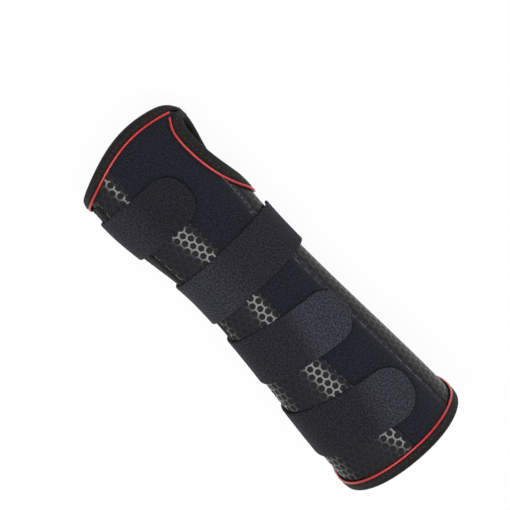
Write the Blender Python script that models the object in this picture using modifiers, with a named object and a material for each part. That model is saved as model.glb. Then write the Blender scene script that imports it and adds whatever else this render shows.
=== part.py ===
"""Right-hand wrist and forearm splint, closed as worn, lying on its back with the palm side up.

Frame: +Z palm side up, +Y towards the fingers, +X towards the thumb. The origin is on the flat
underside of the dorsal stay pocket, below the wrist line. Units are metres.

Places on the sleeve are given as (w, y, h). w is the share of the girth, 0 at the middle of the
palm side, +0.25 at the thumb side, -0.25 at the little finger side and 0.5 at the middle of the
back. y runs along the arm. h is the distance outwards from the inside of the lining.
"""
import math
from functools import lru_cache

import bmesh
import bpy
import numpy as np
from mathutils import Vector

MM = 0.001

# Inside of the sleeve: lengths from the wrist line, then widths, depths and sideways shifts
FOREARM_LENGTH = 153 * MM
FOREARM_REACH = 13 * MM
FOREARM_REACH_AT = 0.06
PALM_LENGTH = 75 * MM
HAND_LENGTH = PALM_LENGTH + 26 * MM
PALM_REACH = 13.2 * MM
PALM_REACH_AT = 0.045
WEB_DIP = 6 * MM
WEB_AT = 0.25
WEB_SPREAD = 0.042
FOREARM_WIDTH = 86.5 * MM
WRIST_WIDTH = 69 * MM
PALM_WIDTH = 80 * MM
HAND_WIDTH = 76.5 * MM
FOREARM_DEPTH = 64 * MM
WRIST_DEPTH = 42 * MM
PALM_DEPTH = 38 * MM
HAND_DEPTH = 34 * MM
FOREARM_SHIFT = -2 * MM
WRIST_SHIFT = 1.3 * MM
PALM_SHIFT = -0.7 * MM
PALM_ROUNDNESS = 2.4
BACK_ROUNDNESS = 3.0
SECTION_STEPS = 720
REACH_START = 0.75
REACH_END = 0.06

# Layers of cloth
LINING = 1.5 * MM
PANEL = 1.2 * MM
LAYER_GAP = 0.4 * MM
SEAM_GAP = 0.4 * MM
PANEL_UNDER = LINING + LAYER_GAP
SHELL = PANEL_UNDER + PANEL

# Edge tapes and the red piping along them
TAPE = 0.9 * MM
TAPE_GAP = 0.6 * MM
TAPE_INNER_LEG = 5 * MM
HAND_TAPE_WIDTH = 6 * MM
HAND_TAPE_NARROWING = 2.8 * MM
FOREARM_TAPE_WIDTH = 7 * MM
THUMB_TAPE_WIDTH = 8.5 * MM
THUMB_TAPE_NARROWING = 5.8 * MM
PIPING_RADIUS = 0.8 * MM
PIPING_GAP = 0.5 * MM
PALM_PIPING_END = 0.4155
BACK_PIPING_START = 0.551
BACK_PIPING_END = 0.97

# Opening along the little finger side, with a gusset behind it
SLIT_AT_WRIST = -0.242
SLIT_TURN = 0.4
SLIT_AT_HAND = -0.233
SLIT_BEND = (25 * MM, PALM_LENGTH + 5 * MM)
SLIT_GAP = 3 * MM
SLIT_TAPE_WIDTH = 7 * MM
SLIT_TAPE_END = 5 * MM
GUSSET = 1.2 * MM
GUSSET_WIDTH = 26 * MM

# Thumb hole, a leaning oval on the unrolled sleeve about the thumb side
THUMB_Y = PALM_LENGTH - 8.3 * MM
THUMB_UPPER_LENGTH = 24 * MM
THUMB_LOWER_LENGTH = 28.5 * MM
THUMB_HALF_WIDTH = 12.6 * MM
THUMB_LEAN = 0.9
THUMB_BRIDGE_AT = math.radians(104)
THUMB_PIPING_START = math.radians(140)
THUMB_PIPING_END = math.radians(405)
THUMB_PIPING_LEAD = 4 * MM
THUMB_CUT = TAPE + TAPE_GAP + 0.3 * MM
CUTTER_DEPTH = 6 * MM
CUTTER_REACH = 16 * MM

# Seams between the outer panels
PALM_SEAM = -0.013
PALM_SEAM_AT_FOREARM = 0.018
PALM_SEAM_FOREARM_BEND = (-160 * MM, -30 * MM)
PALM_SEAM_AT_HAND = -0.09
PALM_SEAM_BEND = (40 * MM, 78 * MM)
THUMB_SEAM = 0.145
THUMB_SEAM_AT_HOLE = 0.157
THUMB_SEAM_BEND = (18 * MM, 30 * MM)
THUMB_SEAM_AT_WEB = 0.195
THUMB_SEAM_WEB_BEND = (PALM_LENGTH - 3 * MM, HAND_LENGTH + 5 * MM)
BACK_SEAM = 0.345

# Palm stay, between the lining and the plush panel
PALM_STAY_WIDTH = 20 * MM
PALM_STAY = 1.6 * MM
PALM_STAY_START = -FOREARM_LENGTH + 31 * MM
PALM_STAY_END = PALM_LENGTH + 1 * MM
PALM_STAY_AT = 0.062
PALM_STAY_AT_HAND = 0.02
PALM_STAY_BEND = (15 * MM, 75 * MM)
PALM_STAY_TIP = 9 * MM
HOLLOW_MARGIN = 3 * MM
HOLLOW_SPARE = 0.2 * MM
HOLLOW_RAMP = 7 * MM
HOLLOW_END_RAMP = 14 * MM

# Stay on the back, which slides out of its pocket towards the elbow
BACK_STAY_WIDTH = 30 * MM
BACK_STAY = 1.2 * MM
BACK_STAY_LENGTH = FOREARM_LENGTH + 47 * MM
BACK_STAY_CORNER = 8 * MM
STAY_GAP = 0.3 * MM
POCKET_FLOOR = 1.0 * MM
POCKET_ROOF = 1.6 * MM
POCKET_SIDE = 3.7 * MM
POCKET_END = 4 * MM
POCKET_START = -FOREARM_LENGTH + 11 * MM
POCKET_CORNER = 5 * MM
POCKET_MOUTH = 5 * MM

# Straps, sewn to the back and closed over the palm side
STRAP_WIDTH = 34 * MM
STRAP = 1.8 * MM
STRAP_GAP = 0.4 * MM
STRAP_ANCHOR = -0.385
HINGE_GAP = 0.3 * MM
HINGE_PROUD = 0.4 * MM
SLANT_START = 22 * MM
HOOK = 1.0 * MM
HOOK_GAP = 0.3 * MM
HOOK_LENGTH = 34 * MM
HOOK_INSET = 3.5 * MM
HOOK_RAMP = 10 * MM
ROUND_TIP = 14.5 * MM
SQUARE_TIP = 5 * MM
# Name: y at the hinge, slant along the strap, w of the hinge, w of the tip, rounding of the tip
STRAPS = {
    "palm": (0.84 * PALM_LENGTH, -0.03, -0.25, 0.055, ROUND_TIP),
    "wrist": (0.0, 0.0, -0.165, 0.285, SQUARE_TIP),
    "mid": (-0.32 * FOREARM_LENGTH, -0.165, -0.25, 0.15, ROUND_TIP),
    "forearm": (-0.7 * FOREARM_LENGTH, -0.21, -0.25, 0.115, ROUND_TIP),
}

# Sampling
ROUND_CELLS = 42
SIDE_DENSITY = 0.35
ROWS = 15
THUMB_CELLS = 34
PALM_CELLS = 9
PLUSH_CELLS = 10
SIDE_CELLS = 12
BACK_CELLS = 18
GUSSET_CELLS = 3
STAY_CELLS = 3
STRAP_CELLS = 4
HOOK_CELLS = 7
TIP_CELLS = 4
FOREARM_PIPING_CELLS = 31
PALM_PIPING_CELLS = 16
BACK_PIPING_CELLS = 18
THUMB_PIPING_CELLS = 23
Y_DIGITS = 7

POCKET_CAVITY = BACK_STAY + 2 * STAY_GAP
POCKET_HEIGHT = POCKET_FLOOR + POCKET_CAVITY + POCKET_ROOF
POCKET_WIDTH = BACK_STAY_WIDTH + 2 * STAY_GAP + 2 * POCKET_SIDE
POCKET_LENGTH = BACK_STAY_LENGTH + STAY_GAP + POCKET_END
BACK_LEVEL = POCKET_HEIGHT + LAYER_GAP + SHELL
EDGE_INSET = TAPE + TAPE_GAP
SLIT_EDGE = SLIT_GAP / 2 + EDGE_INSET
SLIT_PANEL_EDGE = SLIT_GAP / 2 + SLIT_TAPE_WIDTH + SEAM_GAP
PIPING_OFFSET = PIPING_GAP + PIPING_RADIUS
STATIONS = (
    (-FOREARM_LENGTH - FOREARM_REACH, (FOREARM_WIDTH / 2, FOREARM_DEPTH / 2, FOREARM_SHIFT)),
    (0.0, (WRIST_WIDTH / 2, WRIST_DEPTH / 2, WRIST_SHIFT)),
    (PALM_LENGTH, (PALM_WIDTH / 2, PALM_DEPTH / 2, PALM_SHIFT)),
    (HAND_LENGTH + PALM_REACH, (HAND_WIDTH / 2, HAND_DEPTH / 2, PALM_SHIFT)),
)


def ease(value):
    """0 below 0, 1 above 1, with a smooth rise between them."""
    value = min(max(value, 0.0), 1.0)
    return value * value * (3 - 2 * value)


def bend(y, low, high, span):
    """low before the span along the arm, high after it, with a smooth change between them."""
    return low + (high - low) * ease((y - span[0]) / (span[1] - span[0]))


def section_size(y):
    """Half width, half depth and sideways shift of the inside at y."""
    for (y0, low), (y1, high) in zip(STATIONS, STATIONS[1:]):
        if y <= y1:
            break
    share = ease((y - y0) / (y1 - y0))
    return [a + (b - a) * share for a, b in zip(low, high)]


@lru_cache(maxsize=None)
def section(y):
    """Girth shares, points, outward normals and girth of the inside at y."""
    half_width, half_depth, shift = section_size(y)
    angle = math.pi / 2 - 2 * math.pi * np.linspace(0, 1, SECTION_STEPS + 1)
    cos, sin = np.cos(angle), np.sin(angle)
    power = np.where(sin > 0, PALM_ROUNDNESS, BACK_ROUNDNESS)
    across = np.sign(cos) * np.abs(cos) ** (2 / power)
    up = np.sign(sin) * np.abs(sin) ** (2 / power)
    x = across * half_width
    z = up * half_depth
    normal_x = np.sign(across) * np.abs(across) ** (power - 1) / half_width
    normal_z = np.sign(up) * np.abs(up) ** (power - 1) / half_depth
    length = np.hypot(normal_x, normal_z)
    run = np.concatenate([[0], np.cumsum(np.hypot(np.diff(x), np.diff(z)))])
    points = np.stack([x + shift, z + half_depth + BACK_LEVEL])
    normals = np.stack([normal_x / length, normal_z / length])
    return run / run[-1], points, normals, run[-1]


def girth(y):
    return section(round(y, Y_DIGITS))[3]


def form(w, y, h):
    """The point at share w of the girth, y along the arm and h outwards."""
    shares, points, normals, _ = section(round(y, Y_DIGITS))
    w = w % 1
    x, z = (np.interp(w, shares, row) for row in points)
    normal_x, normal_z = (np.interp(w, shares, row) for row in normals)
    return Vector((x + h * normal_x, y, z + h * normal_z))


def web(w):
    """1 at the web between thumb and forefinger, falling to 0 on both sides of it."""
    w = (w + 0.5) % 1 - 0.5
    return math.exp(-(((w - WEB_AT) / WEB_SPREAD) ** 2))


def hand_edge(w):
    """y of the edge at the hand, which reaches further on the palm side and dips at the web."""
    return HAND_LENGTH + PALM_REACH * math.cos(2 * math.pi * (w - PALM_REACH_AT)) - WEB_DIP * web(w)


def forearm_edge(w):
    """y of the edge at the forearm, which reaches further on the palm side."""
    return -FOREARM_LENGTH - FOREARM_REACH * math.cos(math.pi * (w - FOREARM_REACH_AT)) ** 2


def slit(y):
    return bend(y, SLIT_AT_WRIST + SLIT_TURN * y, SLIT_AT_HAND, SLIT_BEND)


def beside_slit(y, distance):
    return slit(y) + distance / girth(y)


def palm_seam(y):
    at_forearm = bend(y, PALM_SEAM_AT_FOREARM, PALM_SEAM, PALM_SEAM_FOREARM_BEND)
    return bend(y, at_forearm, PALM_SEAM_AT_HAND, PALM_SEAM_BEND)


def thumb_seam(y):
    """The seam passes the thumb hole under its tape and turns to the web."""
    at_hole = bend(y, THUMB_SEAM, THUMB_SEAM_AT_HOLE, THUMB_SEAM_BEND)
    return bend(y, at_hole, THUMB_SEAM_AT_WEB, THUMB_SEAM_WEB_BEND)


def palm_stay_middle(y):
    return bend(y, PALM_STAY_AT, PALM_STAY_AT_HAND, PALM_STAY_BEND)


def lining_level(w, y):
    """h of the lining's inside, which is hollowed to make room for the palm stay."""
    w = (w + 0.5) % 1 - 0.5
    beside = abs(w - palm_stay_middle(y)) * girth(y) - PALM_STAY_WIDTH / 2 - HOLLOW_MARGIN
    before = PALM_STAY_START - HOLLOW_MARGIN - y
    beyond = y - PALM_STAY_END - HOLLOW_MARGIN
    room = ease(1 - beside / HOLLOW_RAMP) * ease(1 - before / HOLLOW_RAMP)
    room *= ease(1 - beyond / HOLLOW_END_RAMP)
    return -room * (PALM_STAY + LAYER_GAP + HOLLOW_SPARE)


def spread(low, high, cells):
    return [low + (high - low) * k / cells for k in range(cells + 1)]


def round_shares(cells):
    """Shares of the way round from the opening, closer together where the two sides turn sharply."""
    return [t - SIDE_DENSITY * math.sin(4 * math.pi * t) / (4 * math.pi) for t in spread(0, 1, cells)]


def material(name, colour, roughness, metallic=0.0):
    made = bpy.data.materials.new(name)
    made.use_nodes = True
    shader = made.node_tree.nodes["Principled BSDF"]
    shader.inputs["Base Color"].default_value = (*colour, 1)
    shader.inputs["Roughness"].default_value = roughness
    shader.inputs["Metallic"].default_value = metallic
    return made


def add(name, data, surface, group, origin=Vector()):
    """An object in the given collection, with its origin at the given point."""
    made = bpy.data.objects.new(name, data)
    made.location = origin
    if surface:
        data.materials.append(surface)
    group.objects.link(made)
    return made


def cloth(name, surface, across, along, place, thickness, group, ring=False, origin=Vector()):
    """A sheet through place(a, b), thickened outwards."""
    mesh = bpy.data.meshes.new(name)
    sheet = bmesh.new()
    grid = [[sheet.verts.new(place(a, b) - origin) for b in along] for a in across]
    columns = list(zip(grid, grid[1:]))
    if ring:
        columns.append((grid[-1], grid[0]))
    for left, right in columns:
        for k in range(len(along) - 1):
            sheet.faces.new((left[k], right[k], right[k + 1], left[k + 1]))
    sheet.to_mesh(mesh)
    sheet.free()
    made = add(name, mesh, surface, group, origin)
    solid = made.modifiers.new("thickness", "SOLIDIFY")
    solid.thickness = thickness
    solid.offset = 1
    solid.use_even_offset = True
    return made


def cord(name, surface, points, group):
    """A round cord through the points."""
    curve = bpy.data.curves.new(name, "CURVE")
    curve.dimensions = "3D"
    curve.bevel_depth = PIPING_RADIUS
    curve.bevel_resolution = 1
    curve.use_fill_caps = True
    line = curve.splines.new("POLY")
    line.points.add(len(points) - 1)
    for knot, point in zip(line.points, points):
        knot.co = (*point, 1)
    return add(name, curve, surface, group)


def plate(name, surface, size, low, corner, group, origin=Vector()):
    """A flat plate of the given size with its low corner at low and rounded corners in plan."""
    mesh = bpy.data.meshes.new(name)
    block = bmesh.new()
    bmesh.ops.create_cube(block, size=1)
    for vert in block.verts:
        vert.co = Vector([low[k] + (vert.co[k] + 0.5) * size[k] - origin[k] for k in range(3)])
    if corner:
        upright = [e for e in block.edges if abs(e.verts[0].co.z - e.verts[1].co.z) > size[2] / 2]
        bmesh.ops.bevel(block, geom=upright, offset=corner, segments=4, profile=0.5, affect="EDGES")
    block.to_mesh(mesh)
    block.free()
    return add(name, mesh, surface, group, origin)


def cut(target, cutter):
    tool = target.modifiers.new(cutter.name, "BOOLEAN")
    tool.operation = "DIFFERENCE"
    tool.solver = "EXACT"
    tool.object = cutter


def panel_rows():
    """Shares along a panel, with rows at both ends of the hollow's slope towards the elbow."""
    low = -FOREARM_LENGTH + EDGE_INSET
    high = HAND_LENGTH - EDGE_INSET
    foot = PALM_STAY_START - HOLLOW_MARGIN
    slope = [(y - low) / (high - low) for y in (foot - HOLLOW_RAMP, foot)]
    return [0.0, REACH_END * 2 / 3] + slope + [row for row in spread(0, 1, ROWS) if row > slope[1]]


def on_panel(across, along, left, right, inset):
    """(w, y) at shares across and along a panel between two seams."""
    y = 0.0
    low = -FOREARM_LENGTH + inset
    high = HAND_LENGTH - inset
    for _ in range(5):
        w = left(y) + (right(y) - left(y)) * across
        to_hand = (hand_edge(w) - HAND_LENGTH) * max(0.0, along - REACH_START) / (1 - REACH_START)
        to_elbow = (forearm_edge(w) + FOREARM_LENGTH) * max(0.0, 1 - along / REACH_END)
        y = low + (high - low) * along + to_hand + to_elbow
    return w, y


def outer_level(_w, _y):
    return PANEL_UNDER


def panel(name, surface, left, right, across, group, level=outer_level, thickness=PANEL):
    """A sheet of cloth over the whole length of the sleeve, between two seams."""

    def place(share, along):
        w, y = on_panel(share, along, left, right, EDGE_INSET)
        return form(w, y, level(w, y))

    return cloth(name, surface, across, panel_rows(), place, thickness, group)


def tape_profile(width, lines=(1.0,)):
    """(distance in from the edge, h) along the inside of a folded tape."""
    outer_leg = [(width * line, SHELL + TAPE_GAP) for line in lines]
    inner_leg = [(TAPE, -TAPE_GAP), (min(width, TAPE_INNER_LEG), -TAPE_GAP)]
    return outer_leg + [(TAPE, SHELL + TAPE_GAP)] + inner_leg


def hand_tape_width(w):
    """The tape is narrower on the bridge between the hand edge and the thumb hole."""
    return HAND_TAPE_WIDTH - HAND_TAPE_NARROWING * web(w)


def round_sleeve(y_of, share):
    """(w, y) at a share of the way round, from one side of the opening to the other."""
    w = 0.0
    for _ in range(5):
        y = y_of(w)
        start = beside_slit(y, SLIT_GAP / 2)
        end = beside_slit(y, -SLIT_GAP / 2) + 1
        w = start + (end - start) * share
    return w, y


def hand_tape(share, knot):
    w, y = round_sleeve(hand_edge, share)
    distance, h = tape_profile(hand_tape_width(w))[knot]
    return form(w, y - distance, h)


def forearm_tape(share, knot):
    w, y = round_sleeve(forearm_edge, 1 - share)
    distance, h = tape_profile(FOREARM_TAPE_WIDTH)[knot]
    return form(w, y + distance, h)


def hand_piping(share):
    w, y = round_sleeve(hand_edge, share)
    return form(w, y - hand_tape_width(w) - PIPING_OFFSET, SHELL + PIPING_OFFSET)


def forearm_piping(share):
    w, y = round_sleeve(forearm_edge, share)
    return form(w, y + FOREARM_TAPE_WIDTH + PIPING_OFFSET, SHELL + PIPING_OFFSET)


def beside_thumb(angle, distance, h, ahead=0.0):
    """The point at a distance outside the edge of the thumb hole, and a distance ahead along that edge."""
    turn = THUMB_HALF_WIDTH * math.cos(angle)
    rise = THUMB_HALF_WIDTH * math.sin(angle)
    half_length = THUMB_UPPER_LENGTH if rise > 0 else THUMB_LOWER_LENGTH
    y = THUMB_Y + half_length * math.sin(angle) - THUMB_LEAN * turn
    tangent = Vector((-rise, half_length * math.cos(angle) + THUMB_LEAN * rise))
    tangent.normalize()
    turn += tangent.y * distance + tangent.x * ahead
    y += -tangent.x * distance + tangent.y * ahead
    return form(WEB_AT + turn / girth(y), y, h)


def thumb_tape_width(angle):
    """The tape is narrower on the bridge between the thumb hole and the hand edge."""
    near = max(0.0, math.cos(angle - THUMB_BRIDGE_AT)) ** 16
    return THUMB_TAPE_WIDTH - THUMB_TAPE_NARROWING * near


def thumb_tape(angle, knot):
    distance, h = tape_profile(thumb_tape_width(angle), (1.0, 0.5))[knot]
    return beside_thumb(angle, distance, h)


def thumb_piping(angle, ahead=0.0):
    distance = thumb_tape_width(angle) + PIPING_OFFSET
    return beside_thumb(angle, distance, SHELL + PIPING_OFFSET, ahead)


def thumb_plug(name, group):
    """The oval plug that is cut out of the cloth for the thumb."""
    mesh = bpy.data.meshes.new(name)
    plug = bmesh.new()
    turns = [2 * math.pi * (k + 0.5) / THUMB_CELLS for k in range(THUMB_CELLS)]
    inner = [plug.verts.new(beside_thumb(t, THUMB_CUT, -CUTTER_DEPTH)) for t in turns]
    outer = [plug.verts.new(beside_thumb(t, THUMB_CUT, CUTTER_REACH)) for t in turns]
    inner_middle = plug.verts.new(form(WEB_AT, THUMB_Y, -CUTTER_DEPTH))
    outer_middle = plug.verts.new(form(WEB_AT, THUMB_Y, CUTTER_REACH))
    for k in range(THUMB_CELLS):
        plug.faces.new((inner[k - 1], inner[k], outer[k], outer[k - 1]))
        plug.faces.new((inner[k - 1], inner[k], inner_middle))
        plug.faces.new((outer[k - 1], outer[k], outer_middle))
    bmesh.ops.recalc_face_normals(plug, faces=plug.faces)
    plug.to_mesh(mesh)
    plug.free()
    return add(name, mesh, None, group)


def slit_tape(side, along, knot):
    """The folded tape along one edge of the opening, level with the outer panels."""
    low = forearm_edge(slit(-FOREARM_LENGTH)) + FOREARM_TAPE_WIDTH + SLIT_TAPE_END
    high = hand_edge(slit(HAND_LENGTH)) - HAND_TAPE_WIDTH - SLIT_TAPE_END
    y = low + (high - low) * along
    profile = (
        (SLIT_TAPE_WIDTH, LINING + TAPE_GAP),
        (TAPE, LINING + TAPE_GAP),
        (TAPE, -TAPE_GAP),
        (TAPE_INNER_LEG, -TAPE_GAP),
    )
    distance, h = profile[knot]
    return form(beside_slit(y, side * (SLIT_GAP / 2 + distance)), y, h)


def gusset(across, along):
    low = -FOREARM_LENGTH + TAPE_INNER_LEG
    high = HAND_LENGTH - TAPE_INNER_LEG
    y = low + (high - low) * along
    return form(beside_slit(y, across * GUSSET_WIDTH / 2), y, -2 * TAPE_GAP - TAPE - GUSSET)


def palm_stay(across, along):
    """The stay narrows to a rounded end at the palm and at the elbow."""
    y = PALM_STAY_START + (PALM_STAY_END - PALM_STAY_START) * along
    short = max(0.0, PALM_STAY_TIP - min(y - PALM_STAY_START, PALM_STAY_END - y))
    half = PALM_STAY_WIDTH / 2 - PALM_STAY_TIP + math.sqrt(max(0.0, PALM_STAY_TIP**2 - short**2))
    return form(palm_stay_middle(y) + across * half / girth(y), y, PANEL_UNDER - LAYER_GAP - PALM_STAY)


def tip_columns(length, start, rounding, cells):
    """(distance along, loss of half width) from start to the rounded tip."""
    straight = [(s, 0.0) for s in spread(start, length - rounding, cells)]
    turns = spread(0, math.pi / 2, TIP_CELLS)[1:]
    curved = [(length - rounding + rounding * math.sin(t), rounding * (1 - math.cos(t))) for t in turns]
    return straight + curved


class Strap:
    """One strap: a sewn root round the little finger side, and a flap with a hook patch."""

    def __init__(self, y, slant, hinge, tip, rounding):
        self.y = y
        self.slant = slant
        self.hinge = hinge
        self.rounding = rounding
        self.girth = girth(y)
        self.length = (tip - hinge) * self.girth
        self.pivot = form(hinge, y, SHELL + STRAP_GAP + STRAP + HINGE_PROUD)

    def spot(self, s, v):
        """(w, y) at s along the strap from its hinge and v across it."""
        lean = self.slant * ease(s / SLANT_START)
        ahead = max(s, 0.0)
        return self.hinge + (s - lean * v) / self.girth, self.y + self.slant * ahead + v

    def root(self, s, v):
        w, y = self.spot(s, v)
        return form(w, y, SHELL + STRAP_GAP)

    def flap(self, column, v):
        s, loss = column
        w, y = self.spot(s, v * (STRAP_WIDTH / 2 - loss))
        clear = self.length - HOOK_INSET - HOOK_LENGTH - s
        lift = (HOOK + HOOK_GAP - STRAP_GAP + HOOK_GAP) * ease(1 - clear / HOOK_RAMP)
        return form(w, y, SHELL + STRAP_GAP + lift)

    def hook(self, column, v):
        s, loss = column
        w, y = self.spot(s, v * (STRAP_WIDTH / 2 - HOOK_INSET - loss))
        return form(w, y, SHELL + HOOK_GAP)


def build():
    for old in list(bpy.data.objects):
        bpy.data.objects.remove(old)
    splint = bpy.data.collections.new("wrist_splint")
    cutters = bpy.data.collections.new("cutters")
    for group in (splint, cutters):
        bpy.context.scene.collection.children.link(group)

    lining_cloth = material("lining_cloth", (0.03, 0.03, 0.033), 0.9)
    honeycomb_cloth = material("honeycomb_cloth", (0.026, 0.026, 0.03), 0.5)
    plush_cloth = material("plush_cloth", (0.014, 0.018, 0.026), 0.95)
    tape_cloth = material("tape_cloth", (0.022, 0.017, 0.013), 0.8)
    red_piping = material("red_piping", (0.75, 0.08, 0.06), 0.5)
    strap_loop = material("strap_loop", (0.028, 0.028, 0.032), 0.95)
    hook_plastic = material("hook_plastic", (0.015, 0.015, 0.017), 0.6)
    aluminium = material("aluminium", (0.7, 0.71, 0.72), 0.35, 1.0)
    stay_plastic = material("stay_plastic", (0.7, 0.7, 0.68), 0.45)

    plug = thumb_plug("thumb_plug", cutters)
    bore_size = (POCKET_WIDTH - 2 * POCKET_SIDE, POCKET_LENGTH - POCKET_END + POCKET_MOUTH, POCKET_CAVITY)
    bore_low = (-bore_size[0] / 2, POCKET_START - POCKET_MOUTH, POCKET_FLOOR)
    bore = plate("pocket_bore", None, bore_size, bore_low, 0, cutters)
    for cutter in (plug, bore):
        cutter.hide_render = True
        cutter.display_type = "WIRE"

    def after_slit(distance):
        return lambda y: beside_slit(y, distance)

    def before_slit(distance):
        return lambda y: beside_slit(y, -distance) + 1

    def shifted(seam, side):
        return lambda y: seam(y) + side * SEAM_GAP / 2 / girth(y)

    def back_seam(_):
        return BACK_SEAM

    lining = panel(
        "lining", lining_cloth, after_slit(SLIT_EDGE), before_slit(SLIT_EDGE),
        round_shares(ROUND_CELLS), splint, lining_level, LINING,
    )
    panel(
        "palm_panel", honeycomb_cloth, after_slit(SLIT_PANEL_EDGE), shifted(palm_seam, -1),
        spread(0, 1, PALM_CELLS), splint,
    )
    panel(
        "plush_panel", plush_cloth, shifted(palm_seam, 1), shifted(thumb_seam, -1),
        spread(0, 1, PLUSH_CELLS), splint,
    )
    thumb_panel = panel(
        "thumb_panel", honeycomb_cloth, shifted(thumb_seam, 1), shifted(back_seam, -1),
        spread(0, 1, SIDE_CELLS), splint,
    )
    panel(
        "back_panel", honeycomb_cloth, shifted(back_seam, 1), before_slit(SLIT_PANEL_EDGE),
        spread(0, 1, BACK_CELLS), splint,
    )
    cut(lining, plug)
    cut(thumb_panel, plug)

    shares = round_shares(ROUND_CELLS)
    knots = range(4)
    cloth("hand_tape", tape_cloth, shares, knots, hand_tape, TAPE, splint)
    cloth("forearm_tape", tape_cloth, shares, knots, forearm_tape, TAPE, splint)
    palm_shares = spread(0, PALM_PIPING_END, PALM_PIPING_CELLS)
    cord("hand_piping", red_piping, [hand_piping(s) for s in palm_shares], splint)
    back_shares = spread(BACK_PIPING_START, BACK_PIPING_END, BACK_PIPING_CELLS)
    cord("back_piping", red_piping, [hand_piping(s) for s in back_shares], splint)
    forearm_shares = spread(0, 1, FOREARM_PIPING_CELLS)
    cord("forearm_piping", red_piping, [forearm_piping(s) for s in forearm_shares], splint)
    turns = [2 * math.pi * k / THUMB_CELLS for k in range(THUMB_CELLS)]
    cloth("thumb_tape", tape_cloth, turns, range(5), thumb_tape, TAPE, splint, ring=True)
    lead = [thumb_piping(THUMB_PIPING_START, -THUMB_PIPING_LEAD)]
    bends = spread(THUMB_PIPING_START, THUMB_PIPING_END, THUMB_PIPING_CELLS)
    cord("thumb_piping", red_piping, lead + [thumb_piping(t) for t in bends], splint)
    up = spread(0, 1, ROWS)
    down = up[::-1]
    cloth("palm_slit_tape", tape_cloth, up, knots, lambda a, b: slit_tape(1, a, b), TAPE, splint)
    cloth("back_slit_tape", tape_cloth, down, knots, lambda a, b: slit_tape(-1, a, b), TAPE, splint)
    cloth("gusset", lining_cloth, spread(-1, 1, GUSSET_CELLS), up, gusset, GUSSET, splint)

    ends = [0, 0.004, 0.012, 0.025]
    stay_rows = ends + spread(0, 1, ROWS)[1:-1] + [1 - e for e in reversed(ends)]
    cloth("palm_stay", aluminium, spread(-1, 1, STAY_CELLS), stay_rows, palm_stay, PALM_STAY, splint)
    pocket_size = (POCKET_WIDTH, POCKET_LENGTH, POCKET_HEIGHT)
    pocket_low = (-POCKET_WIDTH / 2, POCKET_START, 0)
    pocket = plate("back_pocket", tape_cloth, pocket_size, pocket_low, POCKET_CORNER, splint)
    cut(pocket, bore)
    stay_size = (BACK_STAY_WIDTH, BACK_STAY_LENGTH, BACK_STAY)
    stay_low = (-BACK_STAY_WIDTH / 2, POCKET_START, POCKET_FLOOR + STAY_GAP)
    plate("back_stay", stay_plastic, stay_size, stay_low, BACK_STAY_CORNER, splint, Vector(stay_low))

    wide = spread(-1, 1, STRAP_CELLS)
    for name, values in STRAPS.items():
        strap = Strap(*values)
        half = STRAP_WIDTH / 2
        root_end = (STRAP_ANCHOR - strap.hinge) * strap.girth
        root_cells = round((-HINGE_GAP - root_end) / strap.girth * ROUND_CELLS)
        cloth(
            name + "_strap_root", strap_loop, spread(root_end, -HINGE_GAP, root_cells),
            [half * v for v in wide], strap.root, STRAP, splint,
        )
        flap_cells = round((strap.length - strap.rounding) / strap.girth * ROUND_CELLS)
        flap_columns = tip_columns(strap.length, HINGE_GAP, strap.rounding, flap_cells)
        cloth(
            name + "_strap_flap", strap_loop, flap_columns, wide, strap.flap, STRAP, splint,
            origin=strap.pivot,
        )
        hook_end = strap.length - HOOK_INSET
        hook_rounding = max(strap.rounding - HOOK_INSET, HOOK_INSET)
        hook_columns = tip_columns(hook_end, hook_end - HOOK_LENGTH, hook_rounding, HOOK_CELLS)
        cloth(
            name + "_strap_hook", hook_plastic, hook_columns, wide, strap.hook, HOOK, splint,
            origin=strap.pivot,
        )


build()
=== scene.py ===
"""Looks of a right-hand wrist splint: cloth, tapes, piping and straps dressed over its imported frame.

Places on the sleeve are given as (w, y, h). w is the share of the girth, 0 at the middle of the
palm side, +0.25 at the thumb side, -0.25 at the little finger side and 0.5 at the middle of the
back. y runs along the arm, towards the fingers. h is the distance outwards from the inside of the
lining. Arrays of places give arrays of points. Units are metres.
"""
import math

import bpy
import numpy as np
from mathutils import Matrix, Vector

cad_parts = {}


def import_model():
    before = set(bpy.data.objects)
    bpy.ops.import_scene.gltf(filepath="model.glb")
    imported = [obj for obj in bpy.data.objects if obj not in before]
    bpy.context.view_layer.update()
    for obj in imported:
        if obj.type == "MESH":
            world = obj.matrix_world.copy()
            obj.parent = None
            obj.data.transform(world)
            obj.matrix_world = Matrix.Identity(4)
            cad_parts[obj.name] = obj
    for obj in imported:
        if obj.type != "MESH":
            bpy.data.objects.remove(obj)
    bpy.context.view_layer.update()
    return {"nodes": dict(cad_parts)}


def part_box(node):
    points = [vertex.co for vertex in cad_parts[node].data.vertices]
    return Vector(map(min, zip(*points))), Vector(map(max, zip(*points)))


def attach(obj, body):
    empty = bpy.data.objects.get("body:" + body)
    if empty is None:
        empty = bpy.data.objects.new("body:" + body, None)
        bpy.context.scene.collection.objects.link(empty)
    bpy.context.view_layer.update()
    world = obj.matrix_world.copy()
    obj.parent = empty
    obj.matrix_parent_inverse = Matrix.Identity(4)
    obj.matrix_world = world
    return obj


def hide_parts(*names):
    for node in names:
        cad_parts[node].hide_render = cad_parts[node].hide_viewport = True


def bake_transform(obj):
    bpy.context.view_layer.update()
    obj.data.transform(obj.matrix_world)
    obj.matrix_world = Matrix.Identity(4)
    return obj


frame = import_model()

MM = 0.001

# Sides of the sleeve, as shares of the girth
PALM_SIDE = 0.0
THUMB_SIDE = 0.25
BACK_SIDE = 0.5

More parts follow.
